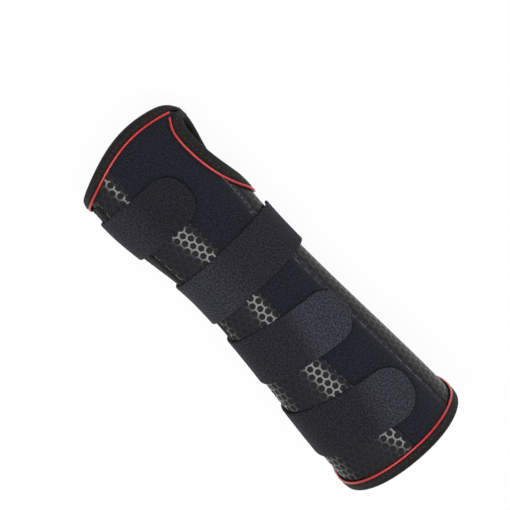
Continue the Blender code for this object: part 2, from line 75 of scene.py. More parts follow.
# Inside of the sleeve: lengths from the wrist line, then widths, depths and sideways shifts
FOREARM_LENGTH = 153 * MM
FOREARM_REACH = 13 * MM
FOREARM_REACH_AT = 0.06
PALM_LENGTH = 75 * MM
HAND_LENGTH = 101 * MM
PALM_REACH = 13.2 * MM
PALM_REACH_AT = 0.045
WEB_DIP = 6 * MM
WEB_AT = THUMB_SIDE
WEB_SPREAD = 0.042
FOREARM_WIDTH = 86.5 * MM
WRIST_WIDTH = 69 * MM
PALM_WIDTH = 80 * MM
HAND_WIDTH = 76.5 * MM
FOREARM_DEPTH = 64 * MM
WRIST_DEPTH = 42 * MM
PALM_DEPTH = 38 * MM
HAND_DEPTH = 34 * MM
FOREARM_SHIFT = -2 * MM
WRIST_SHIFT = 1.3 * MM
PALM_SHIFT = -0.7 * MM
PALM_ROUNDNESS = 2.4
BACK_ROUNDNESS = 3.0
REACH_START = 0.75
REACH_END = 0.06

# Layers of cloth
LINING = 1.5 * MM
PANEL = 1.2 * MM
LAYER_GAP = 0.4 * MM
SEAM_GAP = 0.4 * MM
PANEL_UNDER = LINING + LAYER_GAP
SHELL = PANEL_UNDER + PANEL
SEAM_DIP = 0.3 * MM
SEAM_DIP_WIDTH = 1.6 * MM

# Edge tapes, with their stitches and the red piping along them
TAPE = 0.9 * MM
TAPE_GAP = 0.6 * MM
TAPE_INNER_LEG = 5 * MM
TAPE_FOLD = 1.6 * MM
TAPE_CROWN = 0.3 * MM
HAND_TAPE_WIDTH = 6 * MM
HAND_TAPE_NARROWING = 2.8 * MM
FOREARM_TAPE_WIDTH = 7 * MM
THUMB_TAPE_WIDTH = 8.5 * MM
THUMB_TAPE_NARROWING = 5.8 * MM
PIPING_RADIUS = 0.8 * MM
PIPING_GAP = 0.5 * MM
PIPING_OFFSET = PIPING_GAP + PIPING_RADIUS
PALM_PIPING_END = 0.4155
BACK_PIPING_START = 0.551
BACK_PIPING_END = 0.955
STITCH_LENGTH = 2.4 * MM
STITCH_RADIUS = 0.32 * MM
STITCH_PITCH = 3.6 * MM
STITCH_RISE = 0.7 * STITCH_RADIUS
STITCH_DIP = 1.5 * STITCH_RADIUS
STITCH_END_SECTION = 0.02
TAPE_STITCH_INSET = 2 * MM
SEAM_STITCH_START = 19 * MM
SEAM_STITCH_END = 58 * MM
SEAM_STITCH_OFFSET = 1 * MM

# Opening along the little finger side, with a gusset behind it
SLIT_AT_WRIST = -0.242
SLIT_TURN = 0.4
SLIT_AT_HAND = -0.233
SLIT_BEND = (25 * MM, PALM_LENGTH + 5 * MM)
SLIT_GAP = 3 * MM
SLIT_TAPE_WIDTH = 7 * MM
SLIT_TAPE_END = 5 * MM
SLIT_TAPE_HAND_END = 2.5 * MM
GUSSET = 1.2 * MM
GUSSET_WIDTH = 26 * MM

# Thumb hole, a leaning oval on the unrolled sleeve about the thumb side
THUMB_Y = PALM_LENGTH - 8.3 * MM
THUMB_UPPER_LENGTH = 24 * MM
THUMB_LOWER_LENGTH = 28.5 * MM
THUMB_HALF_WIDTH = 12.6 * MM
THUMB_LEAN = 0.9
THUMB_BRIDGE_AT = math.radians(104)
THUMB_BRIDGE_SHARPNESS = 16
THUMB_PIPING_START = math.radians(140)
THUMB_PIPING_END = math.radians(405)
THUMB_PIPING_LEAD = 4 * MM
THUMB_CUT = 1.8 * MM
THUMB_LEAST_SHARE = 0.01

# Seams between the outer panels
PALM_SEAM = -0.013
PALM_SEAM_AT_FOREARM = 0.018
PALM_SEAM_FOREARM_BEND = (-160 * MM, -30 * MM)
PALM_SEAM_AT_HAND = -0.09
PALM_SEAM_BEND = (40 * MM, 78 * MM)
THUMB_SEAM = 0.145
THUMB_SEAM_AT_HOLE = 0.157
THUMB_SEAM_BEND = (18 * MM, 30 * MM)
THUMB_SEAM_AT_WEB = 0.195
THUMB_SEAM_WEB_BEND = (72 * MM, 106 * MM)
BACK_SEAM = 0.345

# Room between the lining and the plush for the palm stay
PALM_STAY_WIDTH = 20 * MM
PALM_STAY = 1.6 * MM
PALM_STAY_START = -FOREARM_LENGTH + 31 * MM
PALM_STAY_END = PALM_LENGTH + 1 * MM
PALM_STAY_AT = 0.062
PALM_STAY_AT_HAND = 0.02
PALM_STAY_BEND = (15 * MM, 75 * MM)
HOLLOW_MARGIN = 3 * MM
HOLLOW_SPARE = 0.2 * MM
HOLLOW_RAMP = 7 * MM
HOLLOW_END_RAMP = 14 * MM

# Pocket on the back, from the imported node
POCKET_LOW, POCKET_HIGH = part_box("back_pocket")
STAY_LOW, STAY_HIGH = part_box("back_stay")
STAY_GAP = 0.3 * MM
POCKET_EDGE = 1.2 * MM
POCKET_CORNER = 5 * MM

# Straps, sewn to the back and closed over the palm side
STRAP_WIDTH = 34 * MM
STRAP = 1.8 * MM
STRAP_EDGE = 0.7 * MM
STRAP_GAP = 0.4 * MM
STRAP_ANCHOR = -0.385
STRAP_TURN = 6 * MM
SLANT_START = 22 * MM
SEWING_INSET = 2.5 * MM
SEWING_LENGTH = 12 * MM
HOOK = 1.0 * MM
HOOK_GAP = 0.3 * MM
HOOK_LENGTH = 34 * MM
HOOK_INSET = 3.5 * MM
HOOK_RAMP = 10 * MM
ROUND_TIP = 14.5 * MM
SQUARE_TIP = 5 * MM
# Name: y at the hinge, slant along the strap, w of the hinge, w of the tip, rounding of the tip
STRAPS = {
    "palm": (0.84 * PALM_LENGTH, -0.03, -0.25, 0.055, ROUND_TIP),
    "wrist": (0.0, 0.0, -0.165, 0.285, SQUARE_TIP),
    "mid": (-0.32 * FOREARM_LENGTH, -0.165, -0.25, 0.15, ROUND_TIP),
    "forearm": (-0.7 * FOREARM_LENGTH, -0.21, -0.25, 0.115, ROUND_TIP),
}
# Name: shade of the pile near the hinge, and near the tip, and where it changes, as shares of the flap
STRAP_SHADES = {
    "palm": (1.05, 0.6, 0.3, 0.6),
    "wrist": (1.4, 0.8, 0.1, 0.4),
    "mid": (0.75, 1.65, 0.52, 0.7),
    "forearm": (0.65, 1.5, 0.6, 0.8),
}

# Patterns of the cloths. The honeycomb's line is in pitches. Its print fades near the thumb hole and on
# the thumb side, as painted shade that dims the glints of its lines there.
HONEYCOMB_PITCH = 5.2 * MM
HONEYCOMB_LINE = (0.07, 0.15)
PRINT_SHADED_NEAR_THUMB = (34 * MM, 56 * MM)
PRINT_SHADED_AT_SIDE = (10 * MM, 22 * MM)
PRINT_LEFT_IN_SIDE_SHADE = 0.42
SHADED_PRINT_GLOSS = 0.36
HOOK_PITCH = 1.4 * MM
TAPE_RIB = 1.3 * MM
PIPING_TWIST = 1.2 * MM

# Camera, from the photograph's viewing angle
IMAGE_SIDE = 510
SCALE = 0.65 * MM
LOOK_POINT = Vector((12.5, -2.9, 34)) * MM
CAMERA_DISTANCE = 0.8
CAMERA_TILT = math.radians(10)
CAMERA_TURN = math.radians(43.8)
SENSOR = 36

# Floor, surroundings and lamps
FLOOR_HALF_SIDE = 3.0
FLOOR_DROP = 0.05 * MM
FLOOR_COLOUR = (0.95, 0.95, 0.95, 1.0)
FLOOR_GLOW = 1.03
FLOOR_GLOW_SHARE = 0.9
WORLD_COLOUR = (0.9, 0.92, 1.0, 1.0)
WORLD_STRENGTH = 0.4
# Name: direction from the splint, distance, two sides, radiance, turn from the line of the arm
LAMPS = {
    "key": ((-0.233, 0.0, 0.92), 0.95, (0.22, 1.0), 6.8, math.radians(40)),
    "side": ((0.85, 0.1, 0.5), 1.0, (0.6, 0.8), 1.0, 0.0),
}

# Steps of the meshes: lengths, shares of a way, angles in radians and counts
CELL = 1.5 * MM
POCKET_CELL = 4 * MM
GUSSET_CELL = 2 * MM
GUSSET_STEP = 0.1
LEG_STEP = 0.1
EDGE_STEP = 0.004
OPENING_STEP = 0.005
FOLD_STEP = 0.3
STRAP_RIM_STEP = 0.5
STRAP_TIP_STEP = 0.1
POCKET_EDGE_STEP = 0.4
POCKET_CORNER_STEP = 0.2
THUMB_PIPING_STEP = 0.04
THUMB_TAPE_STEPS = 160
STRAP_TOP_POINTS = 23
STRAP_UNDER_POINTS = 12
HOOK_POINTS = 19
TUBE_SIDES = 12
STITCH_RINGS = 7
STITCH_SIDES = 6
SETTLING_ROUNDS = 6

# Places of the table that holds the sleeve's form
SECTION_STEPS = 720
TABLE_STEP = 1 * MM
TABLE_Y = np.arange(-175, 126) * TABLE_STEP
TABLE_W = np.linspace(0, 1, SECTION_STEPS + 1)
TABLE_MARGIN = 0.001

# Worked out from the sizes above
EDGE_INSET = TAPE + TAPE_GAP
SLIT_EDGE = SLIT_GAP / 2 + EDGE_INSET
SLIT_PANEL_EDGE = SLIT_GAP / 2 + SLIT_TAPE_WIDTH + SEAM_GAP
BACK_LEVEL = POCKET_HIGH.z + LAYER_GAP + SHELL
STATIONS = (
    (-FOREARM_LENGTH - FOREARM_REACH, (FOREARM_WIDTH / 2, FOREARM_DEPTH / 2, FOREARM_SHIFT)),
    (0.0, (WRIST_WIDTH / 2, WRIST_DEPTH / 2, WRIST_SHIFT)),
    (PALM_LENGTH, (PALM_WIDTH / 2, PALM_DEPTH / 2, PALM_SHIFT)),
    (HAND_LENGTH + PALM_REACH, (HAND_WIDTH / 2, HAND_DEPTH / 2, PALM_SHIFT)),
)


# The sleeve's form

def ease(value):
    """0 below 0, 1 above 1, with a smooth rise between them."""
    value = np.clip(value, 0.0, 1.0)
    return value * value * (3 - 2 * value)


def bend(y, low, high, span):
    """low before the span along the arm, high after it, with a smooth change between them."""
    return low + (high - low) * ease((y - span[0]) / (span[1] - span[0]))


def section_size(y):
    """Half width, half depth and sideways shift of the inside at y."""
    for (y0, low), (y1, high) in zip(STATIONS, STATIONS[1:]):
        if y <= y1:
            break
    share = ease((y - y0) / (y1 - y0))
    return [a + (b - a) * share for a, b in zip(low, high)]


def section(y):
    """Girth shares, rows of x, z and outward normal, and girth of the inside at y."""
    half_width, half_depth, shift = section_size(y)
    angle = math.pi / 2 - 2 * math.pi * TABLE_W
    cos, sin = np.cos(angle), np.sin(angle)
    power = np.where(sin > 0, PALM_ROUNDNESS, BACK_ROUNDNESS)
    across = np.sign(cos) * np.abs(cos) ** (2 / power)
    up = np.sign(sin) * np.abs(sin) ** (2 / power)
    x = across * half_width
    z = up * half_depth
    normal_x = np.sign(across) * np.abs(across) ** (power - 1) / half_width
    normal_z = np.sign(up) * np.abs(up) ** (power - 1) / half_depth
    length = np.hypot(normal_x, normal_z)
    run = np.concatenate([[0], np.cumsum(np.hypot(np.diff(x), np.diff(z)))])
    rows = (x + shift, z + half_depth + BACK_LEVEL, normal_x / length, normal_z / length)
    return run / run[-1], rows, run[-1]


def sleeve_table():
    """x, z and outward normal of the inside by place along and round it, and the girths along it."""
    table = []
    girths = []
    for y in TABLE_Y:
        shares, rows, around = section(y)
        table.append([np.interp(TABLE_W, shares, row) for row in rows])
        girths.append(around)
    return np.array(table), np.array(girths)


SLEEVE, GIRTHS = sleeve_table()


def girth(y):
    """Girth of the inside at y."""
    return np.interp(y, TABLE_Y, GIRTHS)


def form(w, y, h):
    """The points at shares w of the girth, y along the arm and h outwards."""
    w, y, h = np.broadcast_arrays(np.mod(w, 1.0), y, h)
    row = np.clip((y - TABLE_Y[0]) / TABLE_STEP, 0, len(TABLE_Y) - 1 - TABLE_MARGIN)
    column = np.clip(w * SECTION_STEPS, 0, SECTION_STEPS - TABLE_MARGIN)
    r = row.astype(int)
    c = column.astype(int)

    def pick(k):
        """Row k of the table between its four nearest places."""
        near = SLEEVE[r, k, c] + (SLEEVE[r, k, c + 1] - SLEEVE[r, k, c]) * (column - c)
        far = SLEEVE[r + 1, k, c] + (SLEEVE[r + 1, k, c + 1] - SLEEVE[r + 1, k, c]) * (column - c)
        return near + (far - near) * (row - r)

    return np.stack([pick(0) + h * pick(2), y, pick(1) + h * pick(3)], axis=-1)


def outward(w, y):
    """Outward normals of the sleeve."""
    return (form(w, y, MM) - form(w, y, 0.0)) / MM


def centred(w):
    """w counted from the palm side, from -0.5 to 0.5."""
    return np.mod(w + 0.5, 1) - 0.5


def web(w):
    """1 at the web between thumb and forefinger, falling to 0 on both sides of it."""
    return np.exp(-(((centred(w) - WEB_AT) / WEB_SPREAD) ** 2))


def hand_edge(w):
    """y of the edge at the hand, which reaches further on the palm side and dips at the web."""
    return HAND_LENGTH + PALM_REACH * np.cos(2 * math.pi * (w - PALM_REACH_AT)) - WEB_DIP * web(w)


def forearm_edge(w):
    """y of the edge at the forearm, which reaches further on the palm side."""
    return -FOREARM_LENGTH - FOREARM_REACH * np.cos(math.pi * (w - FOREARM_REACH_AT)) ** 2


def beside_slit(y, distance):
    """w at a distance from the middle of the opening, towards the palm."""
    at_palm = SLIT_AT_WRIST + SLIT_TURN * y
    return bend(y, at_palm, SLIT_AT_HAND, SLIT_BEND) + distance / girth(y)


def palm_seam(y):
    """w of the seam between the honeycomb and the plush on the palm side."""
    at_forearm = bend(y, PALM_SEAM_AT_FOREARM, PALM_SEAM, PALM_SEAM_FOREARM_BEND)
    return bend(y, at_forearm, PALM_SEAM_AT_HAND, PALM_SEAM_BEND)


def thumb_seam(y):
    """w of the seam that passes the thumb hole under its tape and turns to the web."""
    at_hole = bend(y, THUMB_SEAM, THUMB_SEAM_AT_HOLE, THUMB_SEAM_BEND)
    return bend(y, at_hole, THUMB_SEAM_AT_WEB, THUMB_SEAM_WEB_BEND)


def back_seam(y):
    """w of the seam between the thumb side and the back."""
    return BACK_SEAM + 0 * y


def slit_at_palm(distance):
    """A line beside the opening on its palm side, which gives w by y."""
    return lambda y: beside_slit(y, distance)


def slit_at_back(distance):
    """A line beside the opening on its back side, which gives w by y."""
    return lambda y: beside_slit(y, -distance) + 1


def shifted(seam, side):
    """A line half a seam gap to one side of a seam, which gives w by y."""
    return lambda y: seam(y) + side * SEAM_GAP / 2 / girth(y)


def lining_level(w, y):
    """h of the lining's inside, which is hollowed to make room for the palm stay."""
    middle = bend(y, PALM_STAY_AT, PALM_STAY_AT_HAND, PALM_STAY_BEND)
    beside = np.abs(centred(w) - middle) * girth(y) - PALM_STAY_WIDTH / 2 - HOLLOW_MARGIN
    before = PALM_STAY_START - HOLLOW_MARGIN - y
    beyond = y - PALM_STAY_END - HOLLOW_MARGIN
    room = ease(1 - beside / HOLLOW_RAMP) * ease(1 - before / HOLLOW_RAMP)
    room = room * ease(1 - beyond / HOLLOW_END_RAMP)
    return -room * (PALM_STAY + LAYER_GAP + HOLLOW_SPARE)


def on_panel(across, along, left, right):
    """(w, y) at shares across and along a panel between two seams."""
    low = -FOREARM_LENGTH + EDGE_INSET
    high = HAND_LENGTH - EDGE_INSET
    y = low + (high - low) * along + 0 * across
    for _ in range(SETTLING_ROUNDS):
        w = left(y) + (right(y) - left(y)) * across
        to_hand = (hand_edge(w) - HAND_LENGTH) * np.maximum(0, along - REACH_START) / (1 - REACH_START)
        to_elbow = (forearm_edge(w) + FOREARM_LENGTH) * np.maximum(0, 1 - along / REACH_END)
        y = low + (high - low) * along + to_hand + to_elbow
    return w, y


def round_sleeve(y_of, share):
    """(w, y) at shares of the way round, from one side of the opening to the other."""
    w = 0 * share
    for _ in range(SETTLING_ROUNDS):
        y = y_of(w)
        start = beside_slit(y, SLIT_GAP / 2)
        end = beside_slit(y, -SLIT_GAP / 2) + 1
        w = start + (end - start) * share
    return w, y


def beside_thumb(angle, distance, ahead=0.0):
    """(w, y) at a distance outside the edge of the thumb hole, and a distance ahead along that edge."""
    turn = THUMB_HALF_WIDTH * np.cos(angle)
    rise = THUMB_HALF_WIDTH * np.sin(angle)
    half_length = np.where(rise > 0, THUMB_UPPER_LENGTH, THUMB_LOWER_LENGTH)
    y = THUMB_Y + half_length * np.sin(angle) - THUMB_LEAN * turn
    slope = half_length * np.cos(angle) + THUMB_LEAN * rise
    length = np.hypot(rise, slope)
    turn = turn + (slope * distance - rise * ahead) / length
    y = y + (rise * distance + slope * ahead) / length
    return WEB_AT + turn / girth(y), y


def open_thumb_hole(w, y):
    """Moves places out of the oval that is cut for the thumb, and tells which cells between them stay."""
    turn = (np.mod(w, 1) - WEB_AT) * girth(y)
    rise = y - THUMB_Y + THUMB_LEAN * turn
    half_length = np.where(rise > 0, THUMB_UPPER_LENGTH, THUMB_LOWER_LENGTH)
    share = np.hypot(turn / (THUMB_HALF_WIDTH + THUMB_CUT), rise / (half_length + THUMB_CUT))
    cell_share = (share[:-1, :-1] + share[1:, :-1] + share[:-1, 1:] + share[1:, 1:]) / 4
    out = np.maximum(share, THUMB_LEAST_SHARE)
    edge_y = THUMB_Y + (rise - THUMB_LEAN * turn) / out
    edge_w = WEB_AT + turn / out / girth(edge_y)
    return np.where(share < 1, edge_w, w), np.where(share < 1, edge_y, y), cell_share > 1


# Meshes

def spread(low, high, step):
    """Evenly spaced values from low to high, about a step apart."""
    return np.linspace(low, high, max(2, round(abs(high - low) / step) + 1))


def add_object(name, data):
    """A new object in the scene."""
    made = bpy.data.objects.new(name, data)
    bpy.context.scene.collection.objects.link(made)
    return made


def mesh_piece(name, surface, points, faces):
    """A new smooth mesh in the scene."""
    mesh = bpy.data.meshes.new(name)
    mesh.from_pydata(points, [], faces)
    mesh.shade_smooth()
    mesh.materials.append(surface)
    return add_object(name, mesh)


def skin(name, surface, points, uv, ring_rows=False, ring_columns=False, keep=None):
    """A smooth mesh over a grid of points, with its cloth map.

    Its rows or its columns may close to rings, and the ends of a tube of columns are capped.
    """
    rows, columns = points.shape[:2]
    tops = rows if ring_rows else rows - 1
    sides = columns if ring_columns else columns - 1
    faces = []
    corners = []
    for i in range(tops):
        for j in range(sides):
            if keep is not None and not keep[i, j]:
                continue
            loop = ((i, j), (i + 1, j), (i + 1, j + 1), (i, j + 1))
            faces.append([(a % rows) * columns + b % columns for a, b in loop])
            corners.extend(uv[a, b] for a, b in loop)
    if ring_columns:
        first = [(0, j) for j in range(columns)]
        last = [(rows - 1, j) for j in reversed(range(columns))]
        for cap in (first, last):
            faces.append([a * columns + b for a, b in cap])
            corners.extend(uv[a, b] for a, b in cap)
    made = mesh_piece(name, surface, points.reshape(-1, 3), faces)
    layer = made.data.uv_layers.new(name="cloth")
    layer.uv.foreach_set("vector", np.array(corners, np.float32).ravel())
    return made


def thicken(piece, thickness):
    """Gives a sheet its thickness, outwards."""
    solid = piece.modifiers.new("thickness", "SOLIDIFY")
    solid.thickness = thickness
    solid.offset = 1
    solid.use_even_offset = True
    return piece


def unit(vectors):
    """Vectors of length 1 that point the same way."""
    return vectors / np.linalg.norm(vectors, axis=-1, keepdims=True)


def along_line(points):
    """Distances run along the rows of points."""
    steps = np.linalg.norm(np.diff(points, axis=0), axis=-1)
    return np.concatenate([np.zeros_like(steps[:1]), np.cumsum(steps, axis=0)])


def panel(name, surface, left, right, middle, level=None, thickness=PANEL, holed=False):
    """A sheet of cloth over the whole length of the sleeve, between two seams, pulled in along them."""
    width = (right(0.0) - left(0.0)) * girth(0.0)
    across = spread(0, 1, CELL / width)[:, None]
    along = spread(0, 1, CELL / (HAND_LENGTH + FOREARM_LENGTH))[None, :]
    w, y = on_panel(across, along, left, right)
    keep = None
    if holed:
        w, y, keep = open_thumb_hole(w, y)
    if level is None:
        from_seam = np.minimum(w - left(y), right(y) - w) * girth(y)
        h = PANEL_UNDER - SEAM_DIP * np.exp(-((from_seam / SEAM_DIP_WIDTH) ** 2))
    else:
        h = level(w, y)
    around = girth(y) + 2 * math.pi * (h + thickness / 2)
    uv = np.stack([(w - middle) * around, y], axis=-1)
    return thicken(skin(name, surface, form(w, y, h), uv, keep=keep), thickness)


def folded_tape(name, surface, place, rows, width, top, ring=False):
    """A tape folded over an edge. place(row, distance in from the edge) gives (w, y)."""
    leg = spread(0, 1, LEG_STEP)
    turn = spread(0, math.pi, FOLD_STEP)[1:-1]
    height = (top + TAPE_GAP) / 2
    fold = TAPE + TAPE_FOLD
    width = np.broadcast_to(width, rows.shape)[:, None]
    inner = np.minimum(width, TAPE_INNER_LEG)
    turned = np.broadcast_to(fold - TAPE_FOLD * np.sin(turn), (len(rows), len(turn)))
    distance = np.concatenate([width + (fold - width) * leg, turned, fold + (inner - fold) * leg], axis=1)
    crown = top + TAPE_CROWN * np.sin(math.pi * leg)
    h = np.concatenate([crown, top - height + height * np.cos(turn), np.full_like(leg, -TAPE_GAP)])
    w, y = place(rows[:, None], distance)
    points = form(w, y, h[None, :])
    run = along_line(points[:, :1])
    over = along_line(points[0][:, None])[:, 0]
    uv = np.stack(np.broadcast_arrays(run, over[None, :]), axis=-1)
    if ring:
        closing = np.linalg.norm(points[0, 0] - points[-1, 0])
        last = uv[-1:] + np.array([closing, 0])
        uv = np.concatenate([uv, last])
    return thicken(skin(name, surface, points, uv, ring_rows=ring), TAPE)


def tube(name, surface, points, normals, radius):
    """A round cord through points, whose normals set how its surface turns."""
    ahead = unit(np.gradient(points, axis=0))
    side = unit(np.cross(normals, ahead))
    up = np.cross(ahead, side)
    turn = np.arange(TUBE_SIDES) * 2 * math.pi / TUBE_SIDES
    circle = np.cos(turn)[:, None] * up[:, None] + np.sin(turn)[:, None] * side[:, None]
    over = np.arange(TUBE_SIDES + 1) * 2 * math.pi * radius / TUBE_SIDES
    uv = np.stack(np.meshgrid(along_line(points), over, indexing="ij"), axis=-1)
    return skin(name, surface, points[:, None] + radius * circle, uv, ring_columns=True)


def stitches(name, surface, points, normals):
    """A row of stitches along a line, each a thread that dips into the cloth at its ends."""
    run = along_line(points)

    def at(distances, values):
        """Values at distances along the line."""
        return np.stack([np.interp(distances, run, column) for column in values.T], axis=-1)

    places = np.arange(STITCH_PITCH / 2, run[-1], STITCH_PITCH)
    ahead = unit(at(places + MM, points) - at(places - MM, points))
    ups = at(places, normals)
    side = np.cross(ups, ahead)
    turn = np.arange(STITCH_SIDES) * 2 * math.pi / STITCH_SIDES
    vertices = []
    faces = []
    for middle, up, forth, over in zip(at(places, points), ups, ahead, side):
        start = len(vertices)
        for s in np.linspace(-1, 1, STITCH_RINGS):
            centre = middle + forth * s * STITCH_LENGTH / 2 + up * (STITCH_RISE - STITCH_DIP * s * s)
            thick = STITCH_RADIUS * math.sqrt(max(STITCH_END_SECTION, 1 - s**4))
            vertices.extend(centre + thick * (math.cos(t) * up + math.sin(t) * over) for t in turn)
        for i in range(STITCH_RINGS - 1):
            a = start + i * STITCH_SIDES
            b = a + STITCH_SIDES
            for j in range(STITCH_SIDES):
                k = (j + 1) % STITCH_SIDES
                faces.append((a + j, b + j, b + k, a + k))
    return mesh_piece(name, surface, vertices, faces)


# Materials

class Surface:
    """A material whose nodes are added one by one."""

    def __init__(self, name):
        self.material = bpy.data.materials.new(name)
        self.material.use_nodes = True
        self.tree = self.material.node_tree
        self.shader = self.tree.nodes["Principled BSDF"]

    def add(self, kind, *values, **settings):
        """A node with its settings and its inputs in order, each a value or another node's output."""
        node = self.tree.nodes.new("ShaderNode" + kind)
        for key, value in settings.items():
            setattr(node, key, value)
        for socket, value in zip(node.inputs, values):
            self.put(socket, value)
        return node.outputs[0]

    def put(self, socket, value):
        """Sets a socket to a value, or links another node's output to it."""
        if isinstance(value, bpy.types.NodeSocket):
            self.tree.links.new(value, socket)
        elif value is not None:
            socket.default_value = value

    def set(self, **values):
        """Sets the shader's inputs, named with underscores for spaces."""
        for name, value in values.items():
            self.put(self.shader.inputs[name.replace("_", " ")], value)
        return self.material

    def math(self, operation, *values):
        """A number worked out from numbers."""
        return self.add("Math", *values, operation=operation)

    def vector(self, operation, *values):
        """A vector worked out from vectors."""
        return self.add("VectorMath", *values, operation=operation)

    def uv(self, scale=(1.0, 1.0, 1.0)):
        """Place on the cloth, in metres, times a scale."""
        place = self.add("UVMap", uv_map="cloth")
        return self.vector("MULTIPLY", place, scale)

    def object_place(self, scale=(1.0, 1.0, 1.0)):
        """Place in the object's own frame, in metres, times a scale."""
        place = self.named("TexCoord", "Object")
        return self.vector("MULTIPLY", place, scale)

    def named(self, kind, output, **values):
        """An output of a node whose inputs are given by name."""
        node = self.tree.nodes.new("ShaderNode" + kind)
        for name, value in values.items():
            self.put(node.inputs[name], value)
        return node.outputs[output]

    def noise(self, place, scale, detail=2.0, roughness=0.6):
        """Uneven patches, about as many to the metre as the scale."""
        return self.named("TexNoise", "Fac", Vector=place, Scale=scale, Detail=detail, Roughness=roughness)

    def rise(self, value, low, high, start=0.0, end=1.0):
        """start below low, end above high, with a smooth change between them."""
        return self.add("MapRange", value, low, high, start, end, interpolation_type="SMOOTHSTEP")

    def mix(self, kind, share, first, second):
        """The first value where share is 0, the second where it is 1."""
        node = self.tree.nodes.new("ShaderNodeMix")
        node.data_type = kind
        self.put(node.inputs["Factor"], share)
        self.put(node.inputs["A"], first)
        self.put(node.inputs["B"], second)
        return node.outputs["Result"]

    def blend(self, share, first, second):
        """The first colour where share is 0, the second where it is 1."""
        colours = [(*colour, 1.0) if isinstance(colour, tuple) else colour for colour in (first, second)]
        return self.mix("RGBA", share, *colours)

    def bump(self, height, depth, strength=1.0):
        """A normal for a height from 0 to 1 that stands for a depth in metres."""
        return self.named("Bump", "Normal", Strength=strength, Distance=depth, Height=height)

    def honeycomb(self, pitch):
        """Distance in from the sides of hexagons whose flat sides face across the arm, in pitches."""
        place = self.uv((1 / pitch, 1 / pitch, 0.0))
        neighbour = (0.5, math.sqrt(3) / 2, 0.0)
        half = (*neighbour[:2], 0.5)
        less = tuple(-side for side in half)
        near = self.vector("WRAP", place, half, less)
        far = self.vector("WRAP", self.vector("SUBTRACT", place, neighbour), half, less)
        pick = self.math("LESS_THAN", self.length(far), self.length(near))
        spot = self.vector("ABSOLUTE", self.mix("VECTOR", pick, near, far))
        straight = self.dot(spot, (1.0, 0.0, 0.0))
        slanted = self.dot(spot, neighbour)
        return self.math("SUBTRACT", 0.5, self.math("MAXIMUM", straight, slanted))

    def length(self, value):
        """Length of a vector."""
        return self.vector("LENGTH", value).node.outputs["Value"]

    def dot(self, first, second):
        """Dot product of two vectors."""
        return self.vector("DOT_PRODUCT", first, second).node.outputs["Value"]


def honeycomb_cloth():
    """Dark smooth cloth with raised glossy lines in a honeycomb. Near the thumb hole and on the thumb side
    the lines fade to a plain gloss, as painted shade that dims their glints.
    """
    made = Surface("honeycomb_cloth")
    side = made.honeycomb(HONEYCOMB_PITCH)
    line = made.rise(side, *HONEYCOMB_LINE, 1.0, 0.0)
    # Painted shade: the print fades to a plain gloss near the thumb hole, and partly on the thumb side,
    # which dims the glints of its lines there.
    thumb_hole = tuple(form(WEB_AT, THUMB_Y, 0.0))
    from_thumb = made.length(made.vector("SUBTRACT", made.object_place(), thumb_hole))
    to_side = made.dot(made.object_place(), (1.0, 0.0, 0.0))
    unshaded_by_thumb = made.rise(from_thumb, *PRINT_SHADED_NEAR_THUMB)
    unshaded_by_side = made.rise(to_side, *PRINT_SHADED_AT_SIDE, 1.0, PRINT_LEFT_IN_SIDE_SHADE)
    print_unshaded = made.math("MINIMUM", unshaded_by_thumb, unshaded_by_side)
    line = made.math("MULTIPLY_ADD", made.math("SUBTRACT", line, SHADED_PRINT_GLOSS), print_unshaded, SHADED_PRINT_GLOSS)
    weave = made.noise(made.uv(), 800.0)
    cloth = made.blend(made.rise(weave, 0.35, 0.65), (0.005, 0.005, 0.006), (0.016, 0.016, 0.018))
    height = made.math("ADD", line, made.math("MULTIPLY", weave, 0.25))
    return made.set(
        Base_Color=made.blend(line, cloth, (0.001, 0.001, 0.001)),
        Roughness=0.7,
        Normal=made.bump(height, 0.25 * MM),
        Specular_IOR_Level=0.3,
        Coat_Weight=line,
        Coat_Roughness=0.16,
        Coat_IOR=1.5,
    )


def plush_cloth():
    """Soft brushed cloth, dark with a blue tinge."""
    made = Surface("plush_cloth")
    nap = made.noise(made.uv(), 800.0, detail=3.0, roughness=0.75)
    patches = made.noise(made.uv(), 60.0)
    pile = made.blend(made.rise(nap, 0.38, 0.62), (0.002, 0.0023, 0.0036), (0.0195, 0.0225, 0.036))
    return made.set(
        Base_Color=made.blend(made.rise(patches, 0.3, 0.7, 0.0, 0.35), pile, (0.013, 0.0153, 0.025)),
        Roughness=0.95,
        Normal=made.bump(nap, 0.5 * MM, 0.7),
        Sheen_Weight=0.12,
        Sheen_Roughness=0.6,
        Specular_IOR_Level=0.2,
    )


def strap_loop(strap, at_hinge, at_tip, change_start, change_end):
    """Brushed loop strapping with a fine fleece of loops, whose colour is scaled by one factor at the
    hinge and another at the tip.
    """
    made = Surface(strap.name + "_loop")
    loops = made.noise(made.uv((0.8, 1.0, 1.0)), 1100.0, detail=3.0, roughness=0.75)
    streaks = made.noise(made.uv((1.0, 5.0, 1.0)), 90.0)
    pile = made.blend(made.rise(loops, 0.38, 0.62), (0.002, 0.002, 0.003), (0.047, 0.046, 0.062))
    colour = made.blend(made.rise(streaks, 0.3, 0.75, 0.0, 0.35), pile, (0.018, 0.018, 0.023))
    # The pile's colour is scaled from one factor near the hinge to another near the tip, over a span of
    # the flap.
    along = made.dot(made.uv(), (1 / strap.length, 0.0, 0.0))
    shade = made.rise(along, change_start, change_end, at_hinge, at_tip)
    return made.set(
        Base_Color=made.vector("SCALE", colour, None, None, shade),
        Roughness=0.9,
        Normal=made.bump(loops, 0.5 * MM, 0.8),
        Sheen_Weight=0.07,
        Sheen_Roughness=0.5,
        Specular_IOR_Level=0.3,
    )


